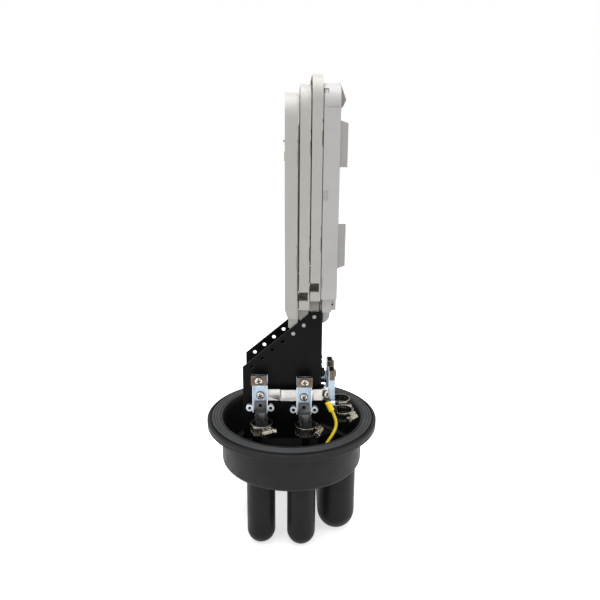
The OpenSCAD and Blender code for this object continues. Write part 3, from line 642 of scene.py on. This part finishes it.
def clampAxis(centre):  # the way that a cable clamp faces
    if centre.x > frameHigh.x and abs(centre.y) < frameHigh.y:
        return Vector((1, 0, 0))
    return Vector((0, 1 if centre.y > 0 else -1, 0))


makeScrews("block_screws", clampAxis)
makeScrews("channel_screws", clampAxis)
makeScrews("frame_screws", lambda centre: Vector((0, 0, 1)))
makeScrews("box_screws", lambda centre: Vector((-1, 0, 0)))
print("screws made")

# ---- hose clamps ----

hoseClamp = {
    "slots": 30,
    "slotShare": 0.46,
    "slotHeight": 0.62,
    "margin": 0.92,
    "plain": 2,  # slots left out at each side of the worm housing
    "slant": 0.10,
    "wall": 0.7,
    "edge": 0.08,
    "tailSlots": 4,
    "tailLength": 9.0,
    "tailStart": 0.46,
    "tailBend": (0.25, -1.6),
    "heads": (1, -1, -1, 1, 1, 1),  # which way each worm screw's head points
    "wormOut": 3.8,
    "wormBack": 6.5,
    "washerAt": 12.98,
    "headAt": 13.96,
    "worm": {"length": 12.6, "pitch": 2.2, "radius": 2.95, "core": 2.3},
    "washer": [(2.4, 0), (3.6, 0), (3.7, 0.25), (3.7, 0.8), (3.5, 1.0), (2.0, 1.0)],
    "head": {"radius": 4.0, "height": 3.6, "crown": 0.5, "arm": 0.55, "depth": 1.7, "rim": 0.4, "sides": 72,
             "slot": True, "hex": True},
    "turn": 0.5,
}


def bandStrip(bm, clamp, count, height, pointAt, slotted):  # a length of band with slanted slots
    margin, slot = clamp["margin"], clamp["slotHeight"]
    rows = [-1, -margin, -slot, slot, margin, 1]
    strip = bmesh.new()
    bmesh.ops.create_grid(strip, x_segments=2 * count, y_segments=len(rows) - 1, size=0.5)
    column = {v: round((v.co.x + 0.5) * 2 * count) for v in strip.verts}
    row = {v: round((v.co.y + 0.5) * (len(rows) - 1)) for v in strip.verts}
    slots = []
    for face in strip.faces:
        k = min(column[v] for v in face.verts)
        if min(row[v] for v in face.verts) == 2 and k % 2 and k // 2 in slotted:
            slots.append(face)
    for v in strip.verts:
        u = (column[v] // 2 + (1 - clamp["slotShare"]) * (column[v] % 2)) / count
        t = rows[row[v]]
        v.co = pointAt(u + clamp["slant"] * t / count, t * height / 2)
    bmesh.ops.delete(strip, geom=slots, context="FACES")
    join(bm, strip)


def makeBand(number, way, clamp):
    node = f"hose_band_{number}"
    centre = centreOf(node)
    low, high = boxOf(node)
    height = (high.z - low.z) / mm
    wall = clamp["wall"] * mm
    radius = (high.x - low.x - wall) / 2
    toward = centreOf(f"worm_housing_{number}") - centre
    base = math.atan2(toward.y, toward.x)

    def onRing(u, z):
        angle = base + u * math.tau
        return centre + Vector((radius * math.cos(angle), radius * math.sin(angle), z * mm))

    bm = bmesh.new()
    slotted = range(clamp["plain"], clamp["slots"] - clamp["plain"])
    bandStrip(bm, clamp, clamp["slots"], height, onRing, slotted)
    bmesh.ops.remove_doubles(bm, verts=bm.verts, dist=0.02 * mm)
    angle = base - clamp["tailStart"] * way
    outer = Vector((math.cos(angle), math.sin(angle), 0))
    along = Vector((outer.y, -outer.x, 0)) * way
    start = centre + outer * (radius + 1.25 * wall)

    def onTail(u, z):
        bend = clamp["tailBend"][0] + clamp["tailBend"][1] * u * u
        return start + (along * u * clamp["tailLength"] + outer * bend + Vector((0, 0, z))) * mm

    bandStrip(bm, clamp, clamp["tailSlots"], height * 0.98, onTail, range(clamp["tailSlots"]))
    bmesh.ops.recalc_face_normals(bm, faces=bm.faces)
    piece = meshPiece(f"hoseBand{number}", bm, ["stainless"], bodyOf[node], 40)
    thick = piece.modifiers.new("thickness", "SOLIDIFY")
    thick.thickness = wall * 0.94
    thick.offset = 0
    edge = piece.modifiers.new("edge", "BEVEL")
    edge.width = clamp["edge"] * mm
    edge.segments = 1
    edge.limit_method = "ANGLE"
    edge.angle_limit = math.radians(50)
    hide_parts(node)


def makeWorms(clamp):
    bm = bmesh.new()
    for number, way in enumerate(clamp["heads"], 1):
        node = f"hose_band_{number}"
        centre = centreOf(node)
        toward = centreOf(f"worm_housing_{number}") - centre
        toward.z = 0
        toward.normalize()
        radius = boxOf(node)[1].x - centre.x
        tangent = Vector((-toward.y, toward.x, 0)) * way
        start = centre + toward * (radius + clamp["wormOut"] * mm) - tangent * clamp["wormBack"] * mm
        thread(bm, frameAlong(start, tangent), clamp["worm"])
        spun(bm, clamp["washer"], frameAlong(start + tangent * clamp["washerAt"] * mm, tangent))
        where = frameAlong(start + tangent * clamp["headAt"] * mm, tangent)
        screwHead(bm, where, clamp["head"], clamp["turn"] + number)
    piece = meshPiece("wormScrews", bm, ["stainless", "recess"], "housing", 32)
    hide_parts("worm_screws")


for number, way in enumerate(hoseClamp["heads"], 1):
    makeBand(number, way, hoseClamp)
makeWorms(hoseClamp)
print("hose clamps made")

# ---- earth screw and nut, lugs and stud ----

earthBond = {
    "turn": 0.4,
    "thick": 0.8,
    "nutBack": 4.3,  # from the screw's seat, past the lug and the bonding strip
    "nut": [(2.55, 0), (3.6, 0), (4.0, 0.3), (4.0, 2.2), (3.6, 2.5), (2.55, 2.5), (2.55, 0)],
    "ring": [(2.6, 0), (4.6, 0), (4.6, 0.8), (2.6, 0.8), (2.6, 0)],
    "neck": [(-0.4, 4.3, 2.0, 0.4), (0.9, 6.6, 1.7, 0.75)],  # out, down, half width, half thickness
    "barrel": [(0.6, 1.4), (2.2, 1.4)],  # distance inside the sleeve, radius
    "sleeve": [(1.95, 0.2), (2.9, -0.05), (3.5, 0.1), (3.62, 0.5), (3.6, 3.0), (3.5, 8.2), (3.4, 9.3),
               (3.38, 11.4), (3.05, 12.0), (2.0, 12.3), (1.5, 12.4)],
    "sleeveLength": 12.4,
    "floorRing": [(3.1, 0), (5, 0), (5, 0.8), (3.1, 0.8), (3.1, 0)],
    # share of the way to the wire, distance past it, rise, half width, half thickness
    "floorNeck": [(0, 4, 0.4, 2.2, 0.4), (1, -3.2, 0.4, 1.9, 0.4), (1, -1.2, 1.1, 1.7, 0.8),
                  (1, 1.2, 2.0, 1.5, 1.2)],
    "sleeveFoot": [(1.6, 0), (2.3, 0), (2.8, 0.9), (3.0, 2.4)],
    "sleeveMouth": [(3.0, -1.2), (3.08, -0.3), (2.75, 0), (1.9, -0.2)],
    "sleeveRise": 0.1,
    "sides": 40,
    "stud": {"pitch": 1.0, "radius": 2.88, "core": 2.5},
}
upward, inward = Vector((0, 0, 1)), Vector((0, 1, 0))


def flatFrame(place, ahead, normal, wide, thin):
    return frameAlong(place, ahead, normal) @ Matrix.Diagonal((wide * mm, thin * mm, 1, 1))


def makeEarthScrew(bond):
    screw = screwKinds["earth_screw"]
    axis = Vector((1, -1, 0)).normalized()
    (places,) = islands("earth_screw")
    bm = bmesh.new()
    seat = screwAt(bm, places, axis, screw, bond["turn"])
    spun(bm, bond["nut"], frameAlong(seat - axis * bond["nutBack"] * mm, axis), 6)
    piece = meshPiece("earthScrewTurned", bm, [screw["paint"], "recess"], "housing", 32)
    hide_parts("earth_screw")
    return seat, axis


def makeEarthLug(seat, axis, bond, wire):
    start = Vector(wire["route"][0]) * mm
    along = (start - Vector(wire["route"][1]) * mm).normalized()
    mouth = start + along * bond["sleeveLength"] * mm
    metal = bmesh.new()
    spun(metal, bond["ring"], frameAlong(seat - axis * bond["thick"] * mm, axis))
    stations = []
    for out, down, wide, thin in bond["neck"]:
        stations.append((seat + (axis * out - upward * down) * mm, wide, thin))
    for inside, radius in bond["barrel"]:
        stations.append((mouth - along * inside * mm, radius, radius))
    frames = []
    for k, (place, wide, thin) in enumerate(stations):
        ahead = stations[min(k + 1, len(stations) - 1)][0] - stations[max(k - 1, 0)][0]
        frames.append(flatFrame(place, ahead, axis, wide, thin))
    swept(metal, frames)
    piece = meshPiece("earthLugMetal", metal, ["recess"], "housing", 40)
    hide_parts("earth_lug")
    plastic = bmesh.new()
    spun(plastic, bond["sleeve"], frameAlong(start, along), bond["sides"])
    meshPiece("earthLugSleeve", plastic, ["sleeve"], "housing", 40)


def makeFloorLug(bond, wire):
    end = Vector(wire["route"][-1]) * mm
    low = boxOf("floor_lug")[0]
    stud = centreOf("earth_stud")
    seat = Vector((stud.x, stud.y, low.z))
    reach = Vector((end.x - seat.x, end.y - seat.y, 0))
    ahead = reach.normalized()
    metal = bmesh.new()
    spun(metal, bond["floorRing"], frameAlong(seat, upward, inward))
    frames = []
    for share, past, rise, wide, thin in bond["floorNeck"]:
        place = seat + reach * share + (ahead * past + upward * rise) * mm
        frames.append(flatFrame(place, ahead, upward, wide, thin))
    swept(metal, frames)
    piece = meshPiece("floorLugMetal", metal, ["tin"], "housing", 40)
    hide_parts("floor_lug")
    foot = Vector((end.x, end.y, low.z + bond["sleeveRise"] * mm))
    tall = (end.z - foot.z) / mm
    profile = bond["sleeveFoot"] + [(radius, tall + z) for radius, z in bond["sleeveMouth"]]
    plastic = bmesh.new()
    spun(plastic, profile, frameAlong(foot, upward, inward), bond["sides"])
    meshPiece("floorLugSleeve", plastic, ["sleeve"], "housing", 40)


def makeStud(bond):
    low, high = boxOf("earth_stud")
    foot = Vector(((low.x + high.x) / 2, (low.y + high.y) / 2, low.z))
    bm = bmesh.new()
    thread(bm, frameAlong(foot, upward, inward), {"length": (high.z - low.z) / mm, **bond["stud"]})
    piece = meshPiece("earthStudThreaded", bm, ["brass"], "housing", 32)
    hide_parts("earth_stud")


earthSeat, earthAxis = makeEarthScrew(earthBond)
makeEarthLug(earthSeat, earthAxis, earthBond, earthWire)
makeFloorLug(earthBond, earthWire)
makeStud(earthBond)
print("earth bonding made")

# ---- seal ring ----

sealRing = {
    "width": 12.4,
    "ridges": 3,
    "ridgeHeight": 0.55,
    "valley": 0.6,
    "edge": 0.4,
    "lip": 1.5,
    "lipDepth": 2.4,
    "points": 8,
    "sides": 192,
}


def makeSeal(seal):
    low, high = boxOf("seal_ring")
    centre = (low + high) / 2
    outer = (high.x - low.x) / 2 / mm
    inner, lip = outer - seal["width"], outer - seal["lip"]
    foot, crest = low.z / mm, high.z / mm
    valley = crest - seal["ridgeHeight"] - seal["valley"]
    ledge = crest - seal["ridgeHeight"] - seal["lipDepth"]
    step = (lip - inner - seal["edge"]) / seal["ridges"]
    profile = [(inner, foot), (inner, valley)]
    for k in range(seal["ridges"]):
        for j in range(seal["points"] + 1):
            t = j / seal["points"]
            place = (inner + seal["edge"] + (k + t) * step, crest - (crest - valley) * abs(2 * t - 1) ** 4)
            if math.dist(place, profile[-1]) > 0.001:
                profile.append(place)
    profile += [(lip, ledge), (outer, ledge), (outer, foot), (inner, foot)]
    bm = bmesh.new()
    spun(bm, profile, Matrix.Translation((centre.x, centre.y, 0)), seal["sides"])
    # faces outside the lip take the near-black: painted shade in the groove between the seal and the rim
    for face in bm.faces:
        place = face.calc_center_median()
        face.material_index = 1 if math.hypot(place.x, place.y) > (lip - 0.05) * mm else 0
    piece = meshPiece("sealRingMoulded", bm, ["seal", "paintedShadeBlack"], "housing", 50)
    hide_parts("seal_ring")


makeSeal(sealRing)
print("seal made")

# ---- catches in the recesses of the storage box ----

boxCatch = {
    "corner": 24.0,
    "wall": 0.4,
    "down": 9.7,
    "depth": 1.9,
    "x": 34.9,
    "size": (4.6, 7.2, 1.2),
    "edge": 0.3,
    "inset": 1.2,
    "nub": 0.5,
}


def makeCatches(catch):
    high = boxOf("storage_box")[1] / mm
    corner = catch["corner"]
    rise = corner - catch["down"]
    bm = bmesh.new()
    for side in (-1, 1):
        pivot = Vector((catch["x"], side * (high.y - catch["wall"] - corner), high.z - corner))
        outward = Vector((0, side * math.sqrt(corner ** 2 - rise ** 2), rise)).normalized()
        place = (pivot + outward * (corner - catch["depth"])) * mm
        part = block(catch["size"])
        top = [f for f in part.faces if f.normal.z > 0.9]
        bmesh.ops.inset_region(part, faces=top, thickness=catch["inset"] * mm, use_even_offset=True)
        raised = list({v for f in top for v in f.verts})
        bmesh.ops.translate(part, vec=(0, 0, catch["nub"] * mm), verts=raised)
        rounded(part, catch["edge"])
        join(bm, part, frameAlong(place, outward, (0, outward.z, -outward.y)))
    # the catches take the darker box plastic: painted shade in the recesses
    meshPiece("boxCatches", bm, ["guards"], bodyOf["storage_box"])


makeCatches(boxCatch)
print("catches made")

# ---- ribs that stand on the floors of the two outer trays ----

trayRibs = {
    "width": 3,
    "root": 1.05,
    "height": 0.45,
    "edge": 0.2,
    # inset from the side, height of the lower end and length of each pair
    "rows": {
        "splice_tray_3": ((8.5, 32, 198), (30.5, 15, 24)),
        "splice_tray_2": ((8.5, 32, 22), (32.5, 15, 24)),
    },
}


def makeRibs(ribs):
    depth = ribs["root"] + ribs["height"]
    for node, rows in ribs["rows"].items():
        low, high = (corner / mm for corner in boxOf(node))
        x = high.x - padHeight - ribs["root"] + depth / 2
        bm = bmesh.new()
        for side, (inset, bottom, length) in itertools.product((-1, 1), rows):
            part = block((depth, ribs["width"], length))
            rounded(part, ribs["edge"])
            place = Vector((x, side * (high.y - inset - ribs["width"] / 2), low.z + bottom + length / 2))
            join(bm, part, Matrix.Translation(place * mm))
        meshPiece("ribsOn" + node[-1], bm, ["trayFlat"], bodyOf[node])


makeRibs(trayRibs)
print("ribs made")

# ---- every other part: its CAD form with the softened edges of a moulding or a pressing ----

edges = {
    "base": 0.4, "round_port": 0.3, "oval_port": 0.3, "hinge_frame": 0.22, "storage_box": 0.3,
    "tray_lid": 0.15, "bonding_strip": 0.15, "splice_tray": 0.15, "splice_holder": 0.2,
    "clamp_channel": 0.2, "clamp_block": 0.35, "cable_saddle": 0.3, "worm_housing": 0.35,
    "earth_nut": 0.25, "standoffs": 0.2,
}
special = {
    "bonding_strip": "strip",
    "worm_housing": "stainless",
    # the ports take the darker black moulding: painted shade under the body
    "round_port": "portMoulding",
    "oval_port": "portMoulding",
}
together = {"hinge_frame": ["hinge_frame", "front_plate"]}
finished = {
    "front_plate", "seal_ring", "earth_wire", "earth_screw", "earth_lug", "floor_lug", "earth_stud",
    "worm_screws", "block_screws", "channel_screws", "frame_screws", "box_screws",
}
zones = {
    "highlitEdge": 0.4,  # front edges of the clamp channels' flanges, given a painted highlight
    "highlitEye": 7.6,  # the eyes beside the flanges, given a painted highlight
    "guardDepth": 9.2,
    "cupRadius": 80,
    "cupTop": 120,
}
boxHigh = boxOf("storage_box")[1]


def brightOn(node):  # where a brighter zinc is painted on as a highlight
    centre = centreOf(node)
    axis = clampAxis(centre)
    across = Vector((axis.y, axis.x, 0))
    low, high = boxOf(node)
    front = max(low.dot(axis), high.dot(axis))
    eye = abs((high - low).dot(across)) / 2 - zones["highlitEye"] * mm

    def chosen(face):
        place = face.calc_center_median()
        atFront = front - place.dot(axis) < zones["highlitEdge"] * mm
        return atFront or abs((place - centre).dot(across)) > eye
    return [("zincHighlight", chosen)]


# faces past this depth take the darker box plastic: painted shade on the guards
def guardFaces(face):
    return face.calc_center_median().x > boxHigh.x - zones["guardDepth"] * mm


# upward faces inside the cup, which take the near-black: painted shade
def cupFaces(face):
    place = face.calc_center_median() / mm
    inCup = math.hypot(place.x, place.y) < zones["cupRadius"] and place.z < zones["cupTop"]
    return inCup and face.normal.z > 0.7


def flatFaces(face):
    return abs(face.normal.x) > 0.9


otherFaces = {
    "base": [("paintedShadeBlack", cupFaces)],
    "splice_tray": [("trayFlat", flatFaces)],
    "tray_lid": [("trayFlat", flatFaces)],
    "storage_box": [("boxFlat", flatFaces), ("guards", guardFaces)],
}
for node in sorted(nodes):
    kind = node.rstrip("0123456789").rstrip("_")
    if node in finished or kind == "hose_band":
        continue
    material = special.get(kind) or paintOfSlot[slotOf[node]]
    others = brightOn(node) if kind == "clamp_channel" else otherFaces.get(kind, [])
    softened(node, edges[kind], material, together.get(node, [node]), others)
print("carried-over nodes finished")

# ---- floor, lamps and background ----

lamps = {
    "overhead": {"place": (-0.1, -0.15, 1.9), "aim": (0, 0, 0.2), "size": 1.4, "power": 37},
    "front": {"place": (-1.1, -1.7, 0.9), "aim": (0, 0, 0.25), "size": 1.3, "power": 7},
    "side": {"place": (1.6, -0.7, 0.9), "aim": (0, 0, 0.25), "size": 1.2, "power": 8},
}
stage = {"tone": 0.85, "glow": 0.64, "ambient": 0.46, "size": 6}


def makeLamp(name, settings):
    data = bpy.data.lights.new(name, "AREA")
    data.shape = "SQUARE"
    data.size = settings["size"]
    data.energy = settings["power"]
    lamp = link(bpy.data.objects.new(name, data))
    lamp.location = settings["place"]
    direction = Vector(settings["aim"]) - Vector(settings["place"])
    lamp.rotation_euler = direction.to_track_quat("-Z", "Y").to_euler()


def seenRays(tree):  # what the camera sees, straight or by reflection
    path = addNode(tree, "ShaderNodeLightPath")
    total = path.outputs["Is Camera Ray"]
    for name in ("Is Glossy Ray", "Is Transmission Ray"):
        more = addNode(tree, "ShaderNodeMath", operation="ADD", use_clamp=True)
        tree.links.new(total, more.inputs[0])
        tree.links.new(path.outputs[name], more.inputs[1])
        total = more.outputs[0]
    return total


def makeWorld(settings):
    world = bpy.data.worlds.new("studio")
    bpy.context.scene.world = world
    world.use_nodes = True
    tree = world.node_tree
    tree.nodes.clear()
    plain = addNode(tree, "ShaderNodeBackground", Color=(1, 1, 1, 1), Strength=settings["ambient"])
    seen = addNode(tree, "ShaderNodeBackground", Color=(1, 1, 1, 1), Strength=1.0)
    mix = addNode(tree, "ShaderNodeMixShader")
    out = addNode(tree, "ShaderNodeOutputWorld")
    tree.links.new(seenRays(tree), mix.inputs[0])
    tree.links.new(plain.outputs[0], mix.inputs[1])
    tree.links.new(seen.outputs[0], mix.inputs[2])
    tree.links.new(mix.outputs[0], out.inputs["Surface"])


def paperWhite(settings):
    material = bpy.data.materials.new("paperWhite")
    material.use_nodes = True
    tree = material.node_tree
    tree.nodes.clear()
    matt = addNode(tree, "ShaderNodeBsdfDiffuse", Color=(*[settings["tone"]] * 3, 1))
    glow = addNode(tree, "ShaderNodeEmission", Color=(1, 1, 1, 1))
    lift = addNode(tree, "ShaderNodeMath", operation="MULTIPLY")
    lift.inputs[1].default_value = settings["glow"]
    both = addNode(tree, "ShaderNodeAddShader")
    out = addNode(tree, "ShaderNodeOutputMaterial")
    tree.links.new(seenRays(tree), lift.inputs[0])
    tree.links.new(lift.outputs[0], glow.inputs["Strength"])
    tree.links.new(matt.outputs[0], both.inputs[0])
    tree.links.new(glow.outputs[0], both.inputs[1])
    tree.links.new(both.outputs[0], out.inputs["Surface"])
    return material


def makeFloor(settings):
    bm = bmesh.new()
    bmesh.ops.create_grid(bm, x_segments=1, y_segments=1, size=settings["size"])
    mesh = bpy.data.meshes.new("floor")
    bm.to_mesh(mesh)
    bm.free()
    mesh.materials.append(paperWhite(settings))
    floor = link(bpy.data.objects.new("floor", mesh))


makeWorld(stage)
makeFloor(stage)
for name, settings in lamps.items():
    makeLamp(name, settings)
bpy.context.scene.view_settings.view_transform = "Standard"
print("stage made")
